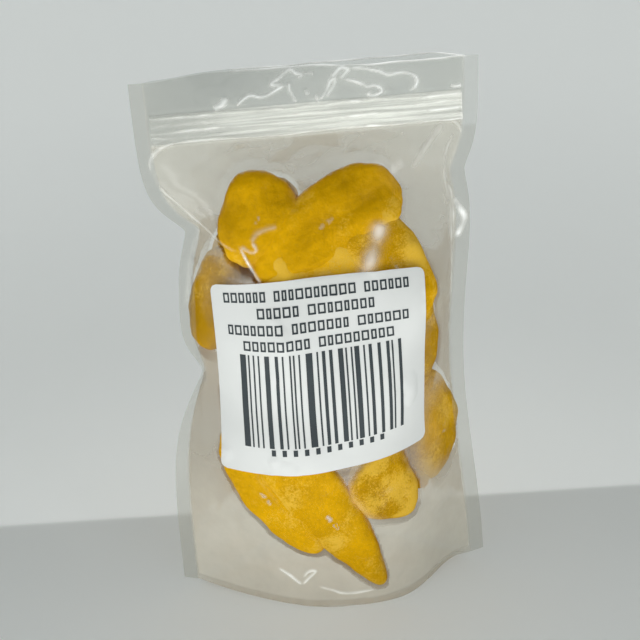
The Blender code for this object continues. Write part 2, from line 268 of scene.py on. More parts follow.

# Wrinkles of the header above the zip, in the same order. Their white is painted highlight along their
# crests, which glows.
WRINKLES = (
    (0.0013, 0.001, 0.8, ((-0.0405, 0.2268), (-0.037, 0.2285), (-0.035, 0.2305), (-0.0345, 0.232))),
    (0.0005, 0.0009, 0.9, ((-0.0305, 0.2265), (-0.029, 0.229), (-0.024, 0.2315), (-0.0185, 0.2305),
        (-0.011, 0.2335), (-0.0075, 0.234))),
    (0.0006, 0.0009, 0.8, ((-0.0075, 0.2345), (-0.0145, 0.235), (-0.0115, 0.237), (-0.006, 0.24),
        (-0.0035, 0.2385), (-0.001, 0.2375), (-0.005, 0.236))),
    (0.0006, 0.0009, 0.7, ((-0.0065, 0.2355), (-0.007, 0.233), (-0.0058, 0.23), (-0.0042, 0.2265))),
    (0.0007, 0.0009, 0.7, ((0.0055, 0.2268), (0.009, 0.231), (0.0108, 0.2345), (0.013, 0.2355),
        (0.012, 0.2325), (0.008, 0.228))),
    (0.0008, 0.0008, 0.8, ((0.011, 0.2355), (0.0135, 0.238), (0.016, 0.24), (0.019, 0.2392),
        (0.017, 0.2372), (0.0145, 0.235))),
    (0.0005, 0.0009, 0.8, ((0.018, 0.2397), (0.025, 0.2395), (0.032, 0.2378), (0.036, 0.2358),
        (0.041, 0.2362), (0.0455, 0.2355), (0.0483, 0.2332), (0.0475, 0.23), (0.044, 0.2268))),
    (0.0006, 0.0009, 0.75, ((0.015, 0.2355), (0.02, 0.2345), (0.025, 0.2325), (0.0265, 0.2313),
        (0.0295, 0.2318), (0.0325, 0.2303), (0.0325, 0.2285), (0.029, 0.227), (0.0268, 0.228),
        (0.0295, 0.2303))),
    (0.0005, 0.0005, 0.6, ((-0.001, 0.2385), (0.002, 0.238), (0.0045, 0.2375))),
    (0.0006, 0.0006, 0.5, ((-0.0015, 0.2312), (0.0005, 0.2314), (0.0012, 0.2305), (-0.0008, 0.2302))),
    (0.0007, 0.0006, 0.6, ((0.0036, 0.23), (0.0047, 0.2283), (0.0049, 0.2258))),
    (0.0007, 0.0006, 0.7, ((0.0625, 0.229), (0.065, 0.2283), (0.068, 0.2285))),
)
# How much of each wrinkle's painted highlight spreads into a wider painted glow around it.
WRINKLE_HALO = 0.42

# The zip's five wavy ribs: place up the zip and half width, both as shares of its height, and rise.
RIBS = ((0.05, 0.035, 1.0), (0.25, 0.040, 0.6), (0.45, 0.045, 0.9), (0.68, 0.040, 0.7), (0.93, 0.040, 1.0))
RIB_SEED = 60
RIB_RISE = 0.0005
ZIP_COLUMNS = 260
ZIP_ROWS = 57

# The haze: the heights between which the base's thicker haze fades, which is painted paler and given a
# painted glow there for light it would scatter; those between which a painted glow sets in under the
# zip, where the film faces up away from the lamps; and how far from the middle that glow starts and
# ends to thin out.
LOW_HAZE_AND_GLOW = (0.030, 0.080)
TOP_GLOW = (0.165, 0.195)
TOP_GLOW_REACH = (0.020, 0.055)

# What the clear film lets through: at the left and at the right of the header, below the zip, and in
# the seals. The header's left lets less through than its right: painted shade. Then the white of its
# creases, which is also their painted highlight, and the pitch of the crimp.
HEADER_LEFT = (0.84, 0.85, 0.84)
HEADER_RIGHT = (0.91, 0.92, 0.91)
HEADER_TURN = (-0.045, 0.010)
BODY_CLEAR = (0.965, 0.955, 0.935)
SEAL_CLEAR = (0.90, 0.905, 0.895)
CREASE_AND_HIGHLIGHT_WHITE = (0.86, 0.87, 0.85)
CRIMP_PITCH = 0.0011

# The stage: the studio's radius, its bend and its height, the rings of its floor and of its wall, how
# many sides it has, and how far behind the pouch the floor's tone turns into the wall's, where the
# floor's glow also turns into the wall's brighter painted glow.
STUDIO = (2.6, 0.7, 2.6)
FLOOR_RINGS = (0.35, 0.9, 1.4)
WALL_RING = 1.7
STUDIO_SIDES = 96
WALL = (0.058, 0.064)

# How far the camera's aim is from the pouch's middle, along its own axes, and where the lamps look.
CAMERA_SHIFT = (-0.0009, 0.0063)
TARGET = (0.0, 0.0, 0.12)

# The lamps: name, azimuth, elevation, distance, size, power in watts and colour.
LAMPS = (
    ("key", 30, 30, 1.4, (0.16, 0.20), 0.45, (1.0, 1.0, 0.99)),
    ("front_fill", -50, 2, 1.7, (1.8, 0.4), 5.6, (0.99, 1.0, 1.0)),
    ("overhead", 10, 78, 1.8, (1.2, 1.2), 0.3, (0.98, 1.0, 1.0)),
)

# A card of light that lies before the pouch and faces up: place, size, power and colour.
CARD = ((-0.06, -0.31, 0.004), (0.9, 0.42), 2.0, (1.0, 1.0, 0.99))

# The air: its colour and how strongly it glows.
AIR = (0.86, 0.93, 0.95, 1.0)
AIR_GLOW = 0.10

# What the settings for colours and for shares have in common.
COLOUR = {"subtype": "COLOR", "size": 3, "min": 0.0, "max": 1.0}
SHARE = {"subtype": "FACTOR", "min": 0.0, "max": 1.0}


class PouchFilmSettings(bpy.types.PropertyGroup):
    """Finish of the clear film."""

    # The haze colour is greyer and warmer than the backdrop: partly the film's own haze and partly painted
    # shade that stands for the shade behind the pouch.
    colour: FloatVectorProperty(
        name="Haze colour", description="Colour of the film's own haze", default=(0.64, 0.62, 0.53), **COLOUR
    )
    # The low haze colour is paler as painted light that the haze would scatter, and it also colours the
    # film's painted glow.
    low_colour: FloatVectorProperty(
        name="Low haze colour", description="Colour of the haze near the base",
        default=(0.74, 0.70, 0.60), **COLOUR,
    )
    haze: FloatProperty(
        name="Haze", description="How much the film hides where it stands off the slices",
        default=0.32, **SHARE,
    )
    contact_haze: FloatProperty(
        name="Contact haze", description="How much the film hides where it touches a slice",
        default=0.002, **SHARE,
    )
    roughness: FloatProperty(
        name="Roughness", description="Roughness of the film's gloss", default=0.13, **SHARE
    )


class PouchSliceSettings(bpy.types.PropertyGroup):
    """Colours and relief of the slices."""

    flesh: FloatVectorProperty(
        name="Flesh", description="Bright fried flesh", default=(0.87, 0.475, 0.0), **COLOUR
    )
    browned: FloatVectorProperty(
        name="Browned", description="Darker, more fried flesh", default=(0.42, 0.225, 0.0), **COLOUR
    )
    frost: FloatVectorProperty(
        name="Frost", description="Flesh seen under frost", default=(0.80, 0.51, 0.060), **COLOUR
    )
    relief: FloatProperty(
        name="Relief", description="Height of the uneven surface", unit="LENGTH",
        min=0.0, max=0.002, default=0.0009,
    )


class PouchLabelSettings(bpy.types.PropertyGroup):
    """The label and its plain print."""

    paper: FloatVectorProperty(
        name="Paper", description="Colour of the label paper", default=(0.73, 0.74, 0.728), **COLOUR
    )
    ink: FloatVectorProperty(
        name="Ink", description="Colour of the print", default=(0.013, 0.020, 0.024), **COLOUR
    )
    thickness: FloatProperty(
        name="Thickness", description="Thickness of the paper", unit="LENGTH",
        min=0.0001, max=0.001, default=0.00018,
    )


class PouchStageSettings(bpy.types.PropertyGroup):
    """Camera, lights and backdrop."""

    elevation: FloatProperty(
        name="Elevation", description="Camera's angle above level", subtype="ANGLE", default=radians(25.2)
    )
    azimuth: FloatProperty(
        name="Azimuth", description="Camera's angle to the left of straight ahead", subtype="ANGLE",
        default=radians(4.5),
    )
    roll: FloatProperty(
        name="Roll", description="Turn of the camera about its own axis", subtype="ANGLE",
        default=radians(3.4),
    )
    distance: FloatProperty(
        name="Distance", description="Camera's distance from the pouch", unit="LENGTH", default=1.2
    )
    lens: FloatProperty(
        name="Lens", description="Focal length in millimetres", min=20.0, max=300.0, default=152.0
    )
    backdrop: FloatVectorProperty(
        name="Backdrop", description="Colour of the floor and backdrop",
        default=(0.765, 0.785, 0.775), **COLOUR,
    )
    light: FloatProperty(
        name="Light", description="Strength of all the lamps together", min=0.0, max=10.0, default=1.0
    )


def smooth(t):
    """Ease from 0 to 1, level at both ends."""
    t = np.clip(t, 0.0, 1.0)
    return t * t * (3.0 - 2.0 * t)


def waves(points, length, seed, count=10):
    """Soft random relief between about -1 and 1: a sum of sine waves of one length in random
    directions and with random starts."""
    draw = np.random.default_rng(seed)
    heading = draw.normal(size=(count, points.shape[-1]))
    heading /= np.linalg.norm(heading, axis=1, keepdims=True)
    pace = 2 * pi / length * draw.uniform(0.7, 1.3, count)
    start = draw.uniform(0.0, 2 * pi, count)
    return np.sin((points @ heading.T) * pace + start).sum(axis=-1) / np.sqrt(count / 2) / 2


def dent(z, place, power):
    """A dent at a height that falls off as exp(-|distance / reach| ** power)."""
    height, depth, below, above = place
    reach = np.where(z < height, below, above)
    return depth * np.exp(-np.abs((z - height) / reach) ** power)


def half_width(x, z):
    """Distance from the middle to a side seal's outer edge: a straight line less its dents."""
    line = BASE_HALF_WIDTH + (WIDTH / 2 - BASE_HALF_WIDTH) * z / HEIGHT
    left = dent(z, LEFT_SAG, SAG_POWER) + sum(dent(z, pinch, PINCH_POWER) for pinch in LEFT_PINCHES)
    right = dent(z, RIGHT_SAG, SAG_POWER) + sum(dent(z, pinch, PINCH_POWER) for pinch in RIGHT_PINCHES)
    return line - np.where(x < 0, left, right)


def seal_width(x, z):
    """The side seal seen from the front, which folds back where the lower pinch is."""
    folded = dent(z, LEFT_PINCHES[1], PINCH_POWER) / LEFT_PINCHES[1][1]
    return SEAL * (1.0 - SEAL_FOLD * np.where(x < 0, folded, 0.0))


def centre_plane(z):
    """The seals' plane, which leans back more the higher it goes."""
    return LEAN * (z / HEIGHT) ** 2


def header_bow(x, z, side):
    """How far one film's header leans back from the seals' plane, more the higher above the zip: the
    back film leans the same all along, and the front film less where the mouth gapes."""
    rise = np.clip((z - ZIP_TOP) / (HEIGHT - ZIP_TOP), 0.0, 1.0) ** 1.5
    mouth = smooth((x - MOUTH_START[0]) / MOUTH_START[1]) * smooth((MOUTH_END[0] - x) / MOUTH_END[1])
    reach = HEADER_BOW - (MOUTH_GAPE * mouth if side < 0 else 0.0)
    return reach * rise * smooth((x - BOW_START[0]) / BOW_START[1]) * smooth((BOW_END[0] - x) / BOW_END[1])


def fill_depth(z, greatest):
    """Depth at the middle: out from the base to the body, then closing towards the zip."""
    body = BASE_DEPTH + (greatest - BASE_DEPTH) * smooth(z / FULL_HEIGHT)
    rise = np.clip((CLOSE_HEIGHT - z) / (CLOSE_HEIGHT - SHOULDER_HEIGHT), 0.0, 1.0)
    return body * np.sin(pi / 2 * rise) ** CLOSE_POWER


def section(x, z, base):
    """Share of the middle's depth at x: (1 - (t / reach) ** inner) ** outer, blended by height."""
    low = smooth(z / BASE_BLEND)
    middle = smooth((z - BODY_BLEND[0]) / (BODY_BLEND[1] - BODY_BLEND[0]))
    high = smooth((z - TOP_BLEND[0]) / (TOP_BLEND[1] - TOP_BLEND[0]))
    reach, inner, outer = base
    for share, shape in ((low, LOW_SECTION), (middle, BODY_SECTION), (high, TOP_SECTION)):
        reach = reach + share * (shape[0] - reach)
        inner = inner + share * (shape[1] - inner)
        outer = outer + share * (shape[2] - outer)
    across = np.abs(x) / (half_width(x, z) - seal_width(x, z))
    return np.clip(1.0 - (across / reach) ** inner, 0.0, 1.0) ** outer


def front_out(x, z):
    """How far the plain front film stands out from the seals' plane."""
    share = np.where(x < 0, section(x, z, BASE_LEFT), section(x, z, BASE_RIGHT))
    return fill_depth(z, FRONT_DEPTH) * share


def back_out(x, z):
    """How far the plain back film stands out from the seals' plane."""
    return fill_depth(z, BACK_DEPTH) * section(x, z, BASE_BACK)


def lifted(x, z):
    """Heights with the base's corners curling up off the floor."""
    corner = (np.abs(x) / half_width(x, z)) ** CORNER_POWER
    return z + CORNER_LIFT * corner * np.clip(1.0 - z / CORNER_TOP, 0.0, 1.0)


def grid_faces(rows, columns, closed=False, flip=False):
    """Quads over a grid of points, row by row, wrapped round its columns if closed."""
    index = np.arange(rows * columns).reshape(rows, columns)
    if closed:
        index = np.concatenate([index, index[:, :1]], axis=1)
    quads = np.stack([index[:-1, :-1], index[:-1, 1:], index[1:, 1:], index[1:, :-1]], -1).reshape(-1, 4)
    return quads[:, ::-1] if flip else quads


def fan(centre, start, around, flip=False):
    """Triangles from one point to each step of a ring of points that begins at start."""
    ring = start + np.arange(around)
    ahead = np.roll(ring, -1)
    pair = (ahead, ring) if flip else (ring, ahead)
    return np.stack([np.full(around, centre), *pair], -1)


def add_mesh(name, points, quads, triangles=None, sharp=None):
    """A smooth object from whole arrays of points, quads and triangles."""
    triangles = np.empty((0, 3), int) if triangles is None else triangles
    mesh = bpy.data.meshes.new(name)
    corners = np.concatenate([quads.ravel(), triangles.ravel()]).astype(np.int32)
    sizes = np.concatenate([np.full(len(quads), 4), np.full(len(triangles), 3)])
    mesh.vertices.add(len(points))
    mesh.vertices.foreach_set("co", np.ascontiguousarray(points, dtype=np.float32).ravel())
    mesh.loops.add(len(corners))
    mesh.loops.foreach_set("vertex_index", corners)
    mesh.polygons.add(len(sizes))
    mesh.polygons.foreach_set("loop_start", np.concatenate([[0], np.cumsum(sizes)[:-1]]).astype(np.int32))
    mesh.update(calc_edges=True)
    mesh.validate()
    mesh.shade_smooth()
    if sharp is not None:
        mesh.set_sharp_from_angle(angle=radians(sharp))
    item = bpy.data.objects.new(name, mesh)
    bpy.context.scene.collection.objects.link(item)
    return item


def paint(item, name, values):
    """Store a value for each point, which the materials read as an attribute."""
    layer = item.data.attributes.new(name, "FLOAT", "POINT")
    layer.data.foreach_set("value", np.ascontiguousarray(values, dtype=np.float32).ravel())


def dress(item, material, slot, *nodes):
    """Give a piece its material, let it ride on the pouch, and hide the solids it stands for."""
    item.data.materials.clear()
    item.data.materials.append(material)
    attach(item, "root")
    if nodes:
        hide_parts(*nodes)


class Wire:
    """A shader socket that takes part in Python sums: each operator adds one Math node."""

    def __init__(self, finish, socket):
        self.finish = finish
        self.socket = socket

    def math(self, operation, *values):
        """A Math node on this socket and other values."""
        return self.finish.add("ShaderNodeMath", {"operation": operation}, dict(enumerate(values)))

    def __add__(self, other):
        return self.math("ADD", self, other)

    def __sub__(self, other):
        return self.math("SUBTRACT", self, other)

    def __rsub__(self, other):
        return self.math("SUBTRACT", other, self)

    def __mul__(self, other):
        return self.math("MULTIPLY", self, other)

    def maximum(self, other):
        """The greater of this value and another."""
        return self.math("MAXIMUM", self, other)

    def sine(self):
        """The sine of this value in radians."""
        return self.math("SINE", self)

    def clamp(self):
        """This value held between 0 and 1."""
        return self.math("MINIMUM", self.maximum(0.0), 1.0)

    __radd__ = __add__
    __rmul__ = __mul__


class Finish:
    """A material made of nodes, built by one method that adds any node."""

    def __init__(self, name):
        self.material = bpy.data.materials.new(name)
        self.material.use_nodes = True
        self.tree = self.material.node_tree
        self.tree.nodes.clear()

    def add(self, kind, settings=None, inputs=None, output=0):
        """Add a node: its settings first, then the values or links of its sockets."""
        node = self.tree.nodes.new(kind)
        for key, value in (settings or {}).items():
            setattr(node, key, value)
        for key, value in (inputs or {}).items():
            if isinstance(value, Wire):
                self.tree.links.new(value.socket, node.inputs[key])
            else:
                node.inputs[key].default_value = value
        return Wire(self, node.outputs[output])

    def place(self):
        """The surface's own place, in metres."""
        return self.add("ShaderNodeTexCoord", output="Object")

    def noise(self, scale, detail=3.0, roughness=0.5, place=None):
        """Soft noise between about 0.25 and 0.75, with so many features to the metre."""
        sockets = {"Vector": place or self.place(), "Scale": scale, "Detail": detail, "Roughness": roughness}
        return self.add("ShaderNodeTexNoise", {}, sockets, "Fac")

    def attribute(self, name):
        """A value painted on the piece's points."""
        return self.add("ShaderNodeAttribute", {"attribute_name": name}, output="Fac")

    def step(self, value, low, high):
        """A value eased from 0 at low to 1 at high."""
        sockets = {"Value": value, "From Min": low, "From Max": high}
        return self.add("ShaderNodeMapRange", {"interpolation_type": "SMOOTHSTEP"}, sockets)

    def mix(self, factor, first, second):
        """One colour turned into another by a factor: sockets 0, 6 and 7 in, and 2 out."""
        sockets = {0: factor, 6: rgba(first), 7: rgba(second)}
        return self.add("ShaderNodeMix", {"data_type": "RGBA"}, sockets, 2)

    def clear(self, tint):
        """A see-through shader of one faint tint."""
        return self.add("ShaderNodeBsdfTransparent", {}, {"Color": rgba(tint)})

    def blend(self, factor, first, second):
        """One shader turned into another by a factor."""
        return self.add("ShaderNodeMixShader", {}, {0: factor, 1: first, 2: second})

    def bump(self, height, distance, strength=1.0):
        """A normal tilted by a height map whose full range is the distance."""
        sockets = {"Height": height, "Distance": distance, "Strength": strength}
        return self.add("ShaderNodeBump", {}, sockets)

    def principled(self, **inputs):
        """The shader itself, with socket names written with underscores."""
        sockets = {key.replace("_", " "): value for key, value in inputs.items()}
        return self.add("ShaderNodeBsdfPrincipled", {}, sockets)

    def done(self, surface):
        """Join the surface to the output and give the material."""
        output = self.tree.nodes.new("ShaderNodeOutputMaterial")
        self.tree.links.new(surface.socket, output.inputs["Surface"])
        return self.material


BLACK = (0.0, 0.0, 0.0)


def rgba(colour):
    """A colour with full cover, or the link that gives one."""
    return colour if isinstance(colour, Wire) else (*colour[:3], 1.0)


def film_finish(settings):
    """Clear film: see-through, with a warm haze where it stands off the slices, clear and greyer seals
    and header, the header painted darker at its left as shade, white creases and wrinkles that glow as
    painted highlights, a paler haze and a painted glow low down and under the zip, a fine crimp in one
    seal, and a soft gloss."""
    finish = Finish("clear_film")
    place = finish.place()
    contact, header, crimp, crease_and_highlight, seal = (
        finish.attribute(name) for name in ("contact", "header", "crimp", "crease_and_highlight", "seal")
    )
    clouds = finish.noise(38.0, 4.0, 0.6, place)
    axes = finish.add("ShaderNodeSeparateXYZ", {}, {0: place}, "X")
    height = Wire(finish, axes.socket.node.outputs["Z"])
    pitch = 2 * pi / CRIMP_PITCH
    weave = ((axes + height) * pitch).sine() * ((axes - height) * pitch).sine()
    # Low down the haze is thicker, painted paler and given a painted glow, less so to the right.
    low = (1.0 - finish.step(height, *LOW_HAZE_AND_GLOW)) * (1.0 - 0.5 * finish.step(axes, 0.020, 0.060))
    # A painted glow under the zip in the middle, where the film faces up away from the lamps.
    middle = (1.0 - finish.step(axes, *TOP_GLOW_REACH)) * (1.0 - finish.step(axes * -1.0, *TOP_GLOW_REACH))
    high = middle * finish.step(height, *TOP_GLOW)
    haze = settings.haze * (0.65 + 0.7 * clouds) * (1.0 - contact) * (1.0 - 0.75 * header)
    haze = haze * (1.0 - 0.9 * seal) * (1.0 + 0.8 * low)
    rim = finish.add("ShaderNodeFresnel", {}, {"IOR": 1.35})
    cover = haze + settings.contact_haze * contact + 0.9 * crease_and_highlight + 0.03 * seal
    cover = cover + (0.3 * rim + 0.03) * (1.0 - contact) + 0.10 * crimp * (0.6 + weave)
    normal = finish.bump(finish.noise(260.0, 3.0, 0.55, place), 0.00012, 0.6)
    body = finish.mix(0.8 * low, settings.colour, settings.low_colour)
    # Painted glow: the haze emits a little of the low haze colour, low down and under the zip.
    share = 0.16 * (1.0 - header) * (1.0 - seal) * (0.3 + low + 1.1 * high)
    glow = finish.mix(share, BLACK, settings.low_colour)
    # Creases, header wrinkles, the lip and the zip's ribs are painted white and made to glow: partly the
    # film's stress whitening, partly painted highlight and glint.
    colour = finish.mix((1.5 * crease_and_highlight + crimp).clamp(), body, CREASE_AND_HIGHLIGHT_WHITE)
    shell = finish.principled(
        Base_Color=colour, Roughness=settings.roughness, IOR=1.9, Normal=normal,
        Emission_Color=finish.mix(crease_and_highlight, glow, CREASE_AND_HIGHLIGHT_WHITE), Emission_Strength=0.42,
    )
    # The header is painted darker at its left than at its right: painted shade.
    turn = finish.step(axes, *HEADER_TURN)
    dim = finish.blend(turn, finish.clear(HEADER_LEFT), finish.clear(HEADER_RIGHT))
    dim = finish.blend(contact.maximum(1.0 - header), dim, finish.clear(BODY_CLEAR))
    dim = finish.blend(seal, dim, finish.clear(SEAL_CLEAR))
    return finish.done(finish.blend(cover.clamp(), dim, shell))


def zip_finish(settings):
    """Extruded zip strip: whiter and duller than the film, still see-through, with painted glints that glow
    along its streaks, and more cover and glint to the right as painted light from that side.
    """
    finish = Finish("zip_strip")
    place = finish.place()
    stretched = finish.add("ShaderNodeMapping", {}, {"Vector": place, "Scale": (20.0, 0.0, 1100.0)})
    streaks = finish.noise(1.0, 3.0, 0.6, stretched)
    across = finish.add("ShaderNodeSeparateXYZ", {}, {0: place}, "X")
    # Painted light: the zip is covered more and glints more to the right, on the side of the key lamp, and
    # its streaks glow as painted glints.
    brighter_to_right = 0.35 + 0.65 * finish.step(across, -0.070, -0.020)
    lit = brighter_to_right * finish.step(streaks, 0.30, 0.70)
    rim = finish.add("ShaderNodeFresnel", {}, {"IOR": 1.4})
    cover = brighter_to_right * (0.18 + 0.40 * streaks) + 0.3 * rim
    shell = finish.principled(
        Base_Color=(0.90, 0.90, 0.87, 1.0), Roughness=0.16, IOR=1.9,
        Emission_Color=finish.mix(lit, BLACK, (0.90, 0.91, 0.88)), Emission_Strength=0.34,
    )
    return finish.done(finish.blend(cover.clamp(), finish.clear((1.0, 1.0, 1.0)), shell))


def flesh_finish(settings):
    """Fried plantain: amber flesh mottled with browner patches, fine pores and dull pale frost, darker and
    brighter by its tone, which is partly painted shade and light, and with a faint painted glow.
    """
    finish = Finish("plantain_flesh")
    place = finish.place()
    # The tone is partly the flesh's own browning and partly painted shade and light for how each slice lies.
    tone = finish.attribute("tone")
    frost = finish.attribute("frost")
    patches = finish.noise(75.0, 5.0, 0.62, place)
    pores = finish.noise(620.0, 3.0, 0.65, place)
    grains = finish.noise(1250.0, 2.0, 0.7, place)
    crust = finish.noise(240.0, 4.0, 0.65, place)
    bright = tone + 0.9 * (patches - 0.5) + 0.6 * (pores - 0.5) + 0.6 * (grains - 0.5)
    flesh = finish.mix(bright.clamp(), settings.browned, settings.flesh)
    frosted = frost + 1.4 * (crust - 0.5) + 0.5 * (patches - 0.5) + 1.2 * (grains - 0.5)
    dusting = finish.step(frosted, 0.35, 0.95)
    colour = finish.mix(dusting * 0.8, flesh, settings.frost)
    roughness = 0.50 + 0.25 * dusting
    height = 0.45 * crust + 0.35 * pores + 0.2 * grains
    normal = finish.bump(height, 0.0009, 0.6)
    # A faint painted glow in the flesh's own colour, which lifts its shaded rims and undersides.
    shader = finish.principled(
        Base_Color=colour, Roughness=roughness, Specular_IOR_Level=0.05, Normal=normal,
        Emission_Color=colour, Emission_Strength=0.05,
    )
    return finish.done(shader)


def paper_finish(settings):
    """Smooth label paper with a faint grain and sheen."""
    finish = Finish("label_paper")
    fibres = finish.noise(1500.0, 4.0, 0.6)
    blotches = finish.noise(45.0, 3.0, 0.5)
    darker = tuple(0.95 * c for c in settings.paper)
    colour = finish.mix(blotches, darker, settings.paper)
    normal = finish.bump(fibres, 0.00004, 0.4)
    shader = finish.principled(Base_Color=colour, Roughness=0.45 + 0.1 * fibres, Normal=normal)
    return finish.done(shader)


def ink_finish(settings):
    """Flat dark ink, a little uneven."""
    finish = Finish("label_ink")
    worn = finish.noise(700.0, 3.0, 0.6)
    lighter = tuple(1.9 * c for c in settings.ink)
    colour = finish.mix(worn, settings.ink, lighter)
    shader = finish.principled(Base_Color=colour, Roughness=0.5 + 0.1 * worn)
    return finish.done(shader)


def backdrop_finish(settings):
    """Plain pale studio paper that glows and lights the pouch from all round. The glow is painted light and
    shade: a pool of painted shade near the pouch, lighter in front and darker towards the sides, a brighter
    painted wall behind the pouch, and full glow further out.
    """
    finish = Finish("studio_paper")
    place = finish.place()
    tint = finish.noise(3.0, 2.0, place=place)
    across = finish.add("ShaderNodeSeparateXYZ", {}, {0: place}, "X")
    back = Wire(finish, across.socket.node.outputs["Y"]) + 0.066 * across
    darker = tuple(0.97 * c for c in settings.backdrop)
    near = tuple(0.98 * c for c in settings.backdrop)
    colour = finish.mix(finish.step(back, *WALL), near, finish.mix(tint, darker, settings.backdrop))
    # Painted light and shade: the glow is low near the pouch, lighter in front of it, darker to the sides,
    # brighter on the painted wall behind it, and full further out.
    reach = finish.add("ShaderNodeVectorMath", {"operation": "LENGTH"}, {0: place}, "Value")
    front = finish.step(back * -1.0, -0.050, 0.110)
    side = finish.step(reach, 0.08, 0.30)
    floor = 0.45 + 0.18 * front - 0.15 * side
    wall = 1.08 - 0.26 * side
    lit = floor + finish.step(back, *WALL) * (wall - floor)
    lit = (lit + finish.step(reach, 0.30, 0.70) * (1.0 - lit)) * 0.8
    shader = finish.principled(
        Base_Color=colour, Roughness=0.75, Specular_IOR_Level=0.2,
        Emission_Color=finish.mix(lit, BLACK, settings.backdrop), Emission_Strength=0.46,
    )
    return finish.done(shader)


def between(grid, column, row):
    """A grid's value at any column and row, blended from its four nearest points."""
    column = np.clip(column, 0.0, grid.shape[1] - 1.001)
    row = np.clip(row, 0.0, grid.shape[0] - 1.001)
    i, j = column.astype(int), row.astype(int)
    u, v = column - i, row - j
    low = (1.0 - u) * grid[j, i] + u * grid[j, i + 1]
    high = (1.0 - u) * grid[j + 1, i] + u * grid[j + 1, i + 1]
    return (1.0 - v) * low + v * high


def read(raster, x, z):
    """A raster's value at any x and z."""
    return between(raster, (x - RASTER_X[0]) / STEP, z / STEP)


def slopes(height, x, z, step):
    """How fast a height over x and z rises along each of them."""
    slope_x = (height(x + step, z) - height(x - step, z)) / (2 * step)
    slope_z = (height(x, z + step) - height(x, z - step)) / (2 * step)
    return slope_x, slope_z


def slice_frame(x, z, turn, side, depth):
    """Where a slice lies: its middle, and its long, short and outward directions. The outward one is
    the film's, from its slopes over a slice's reach, and the long one is turned within the film."""
    out = front_out if side < 0 else back_out
    slope_x, slope_z = slopes(out, x, z, SLICE_REACH)
    lean = 2 * LEAN * z / HEIGHT**2
    outward = np.array([-slope_x, side, -slope_z - side * lean], float)
    outward /= np.linalg.norm(outward)
    level = np.cross(outward, np.array([0.0, 0.0, 1.0]))
    level = level / np.linalg.norm(level) * np.sign(level[0])
    up = np.cross(outward, level)
    up = up if up[2] > 0 else -up
    angle = radians(turn)
    long = level * cos(angle) + up * sin(angle)
    short = up * cos(angle) - level * sin(angle)
    middle = np.array([x, centre_plane(z) + side * out(x, z), z]) - outward * depth
    return middle, long, short, outward


def slice_points(place, length, width, thick, taper, bend, relief, seed, around=128, across=56):
    """Points of one slice: a disc with a round rim, cos(v) ** 0.5 wide and sin(v) ** 0.7 thick, made
    oval, tapered and bent along its length, dished in its faces, and roughened by soft waves."""
    middle, long, short, outward = place
    u = np.linspace(0.0, 2 * pi, around, endpoint=False)[None, :]
    v = np.linspace(-pi / 2, pi / 2, across)[:, None]
    radius = np.abs(np.cos(v)) ** 0.5
    rise = np.sign(np.sin(v)) * np.abs(np.sin(v)) ** 0.7
    a = radius * np.sign(np.cos(u)) * np.abs(np.cos(u)) ** 0.92
    b = radius * np.sign(np.sin(u)) * np.abs(np.sin(u)) ** 0.88
    narrow = 1.0 - taper * (0.5 + 0.5 * a) ** 1.5 - 0.5 * taper * a
    thin = 1.0 - 0.22 * a**2 - 0.3 * np.abs(taper) * np.clip(a, 0.0, 1.0)
    along = a * length / 2
    aside = b * width / 2 * narrow + bend * length / 2 * (a**2 - 0.4)
    dish = 0.05 * (1.0 - radius**2) ** 2
    up = rise * thick / 2 * thin * (1.0 - dish) - 0.02 * length * (a**2 - 0.4)
    local = np.stack([along, aside, up + 0 * along], -1).reshape(-1, 3)
    rough = waves(local, 0.026, seed) + 0.55 * waves(local, 0.012, seed + 1)
    rough = rough + 0.22 * waves(local, 0.005, seed + 2)
    away = local / np.array([length / 2, width / 2, thick / 2]) ** 2
    away /= np.linalg.norm(away, axis=1, keepdims=True)
    poles = np.abs(local[:, 0]) + np.abs(local[:, 1]) < 1e-9
    local = local + relief * (rough * (1.0 - poles))[:, None] * away
    world = middle + local[:, :1] * long + local[:, 1:2] * short + local[:, 2:] * outward
    return world.reshape(across, around, 3), local.reshape(across, around, 3)


def slice_list(relief):
    """Every slice's name, its place, its sizes with its relief and seed, its tone and its frost."""
    items = []
    for side, slices in ((-1.0, FRONT_SLICES), (1.0, BACK_SLICES)):
        for name, x, z, length, width, thick, turn, push, taper, bend, tone, frost, seed in slices:
            place = slice_frame(x, z, turn, side, thick / 2 - push)
            items.append((name, place, (length, width, thick, taper, bend, relief, seed), tone, frost))
    for name, x, share, z, length, width, thick, turn, taper, bend, tone, frost, seed in INNER_SLICES:
        depth = share * (front_out(x, z) + back_out(x, z))
        place = slice_frame(x, z, turn, -1.0, depth)
        items.append((name, place, (length, width, thick, taper, bend, relief, seed), tone, frost))
    return items


def grow(raster, rounds=1):
    """A raster whose points each take the greatest value of the 3 by 3 around them, again and again."""
    for _ in range(rounds):
        for axis in (0, 1):
            raster = np.maximum(raster, np.maximum(np.roll(raster, 1, axis), np.roll(raster, -1, axis)))
    return raster


def obstacle(side, slices):
    """The furthest that any slice stands out from the seals' plane, over the raster: every point of a
    dense copy of each slice marks the nearest raster point, and a 3 by 3 spread closes the gaps."""
    reach = np.full((len(RASTER_Z), len(RASTER_X)), -1.0)
    for _, place, sizes, _, _ in slices:
        points = slice_points(place, *sizes, around=360, across=150)[0].reshape(-1, 3)
        column = np.rint((points[:, 0] - RASTER_X[0]) / STEP).astype(int)
        row = np.rint(points[:, 2] / STEP).astype(int)
        out = side * (points[:, 1] - centre_plane(points[:, 2])) + CLEARANCE
        inside = (column >= 0) & (column < len(RASTER_X)) & (row >= 0) & (row < len(RASTER_Z))
        np.maximum.at(reach, (row[inside], column[inside]), out[inside])
    return grow(reach)


